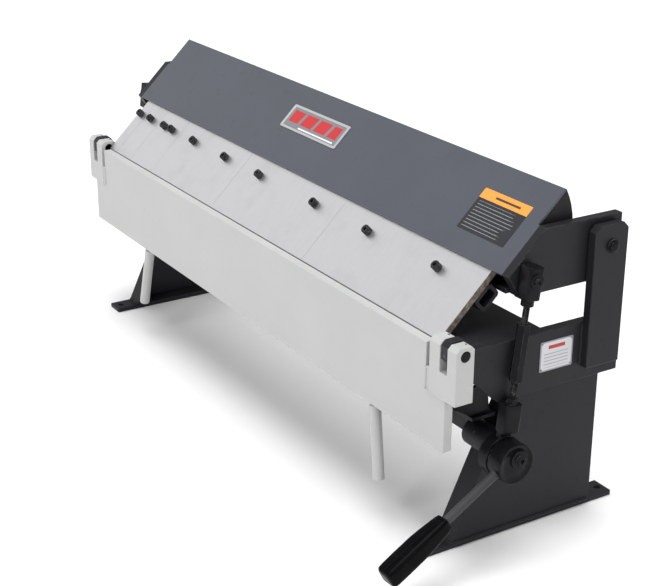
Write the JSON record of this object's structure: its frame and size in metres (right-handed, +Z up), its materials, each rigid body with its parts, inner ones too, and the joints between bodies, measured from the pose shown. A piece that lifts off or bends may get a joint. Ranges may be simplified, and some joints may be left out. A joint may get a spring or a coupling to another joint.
{
  "type": "bench pan and box sheet metal brake",
  "caption": "Bench pan and box brake with a lifting clamp beam, removable stepped-width fingers, a swinging bending leaf and eccentric clamp levers.",
  "frame": {"origin": "centre of the footprint, on the bench under the feet", "axes": "+X to the machine's right along the bend line, -Y to the front where the leaf and levers are, +Z up"},
  "size_m": [1.0858, 0.4004, 0.438],
  "materials": {
    "dark_enamel": "semi-gloss charcoal enamel",
    "beam_enamel": "semi-gloss slate grey enamel",
    "white_enamel": "satin off-white enamel",
    "finger_steel": "ground steel with a brown scale on the sawn ends",
    "pin_steel": "turned steel, lightly oiled",
    "black_steel": "semi-gloss black finish on steel",
    "black_grip": "gloss moulded black"
  },
  "bodies": {
    "frame": {"left_foot": "dark_enamel", "right_foot": "dark_enamel", "left_stand": "dark_enamel", "right_stand": "dark_enamel", "bed_channel": "dark_enamel", "left_bed_end": "dark_enamel", "right_bed_end": "dark_enamel", "left_upright": "dark_enamel", "right_upright": "dark_enamel", "left_pivot_pin": "pin_steel", "right_pivot_pin": "pin_steel", "front_tie_bar": "dark_enamel", "left_cam_boss": "dark_enamel", "right_cam_boss": "dark_enamel", "left_cam_bolt": "pin_steel", "right_cam_bolt": "pin_steel"},
    "clamp_beam": {"beam_front_plate": "beam_enamel", "beam_back_plate": "beam_enamel", "beam_floor_plate": "beam_enamel", "left_arm": "beam_enamel", "right_arm": "beam_enamel", "left_beam_end": "beam_enamel", "right_beam_end": "beam_enamel", "finger_clamp_tube": "beam_enamel", "finger_01_inch": "finger_steel", "finger_02_inch": "finger_steel", "finger_03_inch": "finger_steel", "finger_08_inch": "finger_steel", "finger_10_inch": "finger_steel", "finger_12_inch": "finger_steel", "finger_screw_01": "black_steel", "finger_screw_02": "black_steel", "finger_screw_03": "black_steel", "finger_screw_04": "black_steel", "finger_screw_05": "black_steel", "finger_screw_06": "black_steel", "finger_screw_07": "black_steel", "finger_screw_08": "black_steel", "finger_screw_09": "black_steel", "finger_screw_10": "black_steel", "left_yoke_bolt": "pin_steel", "right_yoke_bolt": "pin_steel"},
    "leaf": {"leaf_plate": "white_enamel", "left_hinge_block": "white_enamel", "right_hinge_block": "white_enamel", "left_hinge_pin": "pin_steel", "right_hinge_pin": "pin_steel", "left_leaf_handle": "black_steel", "right_leaf_handle": "black_steel"},
    "left_lever": {"left_cam_lever": "black_steel", "left_lever_grip": "black_grip"},
    "left_link": {"left_link_yoke": "black_steel", "left_link_strap": "black_steel"},
    "left_turnbuckle": {"left_turnbuckle": "black_steel"},
    "right_lever": {"right_cam_lever": "black_steel", "right_lever_grip": "black_grip"},
    "right_link": {"right_link_yoke": "black_steel", "right_link_strap": "black_steel"},
    "right_turnbuckle": {"right_turnbuckle": "black_steel"}
  },
  "joints": [
    {"name": "leaf_swing", "type": "hinge", "parent": "frame", "child": "leaf", "pos_m": [0, -0.08075, 0.2788], "axis": [-1, 0, 0], "range_deg": [0, 100]},
    {"name": "beam_lift", "type": "hinge", "parent": "frame", "child": "clamp_beam", "pos_m": [0, 0.12825, 0.369], "axis": [-1, 0, 0], "range_deg": [0, 4.88]},
    {"name": "left_lever_turn", "type": "hinge", "parent": "frame", "child": "left_lever", "pos_m": [-0.5155, -0.01135, 0.1402], "axis": [-1, 0, 0], "range_deg": [0, 105]},
    {"name": "left_link_swing", "type": "hinge", "parent": "clamp_beam", "child": "left_link", "pos_m": [-0.502, 0.01225, 0.35], "axis": [1, 0, 0], "range_deg": [0, 4.1]},
    {"name": "left_turnbuckle_turn", "type": "hinge", "parent": "left_link", "child": "left_turnbuckle", "pos_m": [-0.502, -0.00075, 0.2435], "axis": [0, -0.1212, -0.9926], "range_deg": [-180, 180]},
    {"name": "right_lever_turn", "type": "hinge", "parent": "frame", "child": "right_lever", "pos_m": [0.5155, -0.01135, 0.1402], "axis": [-1, 0, 0], "range_deg": [0, 105]},
    {"name": "right_link_swing", "type": "hinge", "parent": "clamp_beam", "child": "right_link", "pos_m": [0.502, 0.01225, 0.35], "axis": [1, 0, 0], "range_deg": [0, 4.1]},
    {"name": "right_turnbuckle_turn", "type": "hinge", "parent": "right_link", "child": "right_turnbuckle", "pos_m": [0.502, -0.00075, 0.2435], "axis": [0, -0.1212, -0.9926], "range_deg": [-180, 180]}
  ],
  "couplings": [
    {"joint": "left_lever_turn", "follows": "beam_lift", "ratio": 21.488},
    {"joint": "left_link_swing", "follows": "beam_lift", "ratio": 0.82047},
    {"joint": "right_lever_turn", "follows": "beam_lift", "ratio": 21.488},
    {"joint": "right_link_swing", "follows": "beam_lift", "ratio": 0.82047}
  ]
}
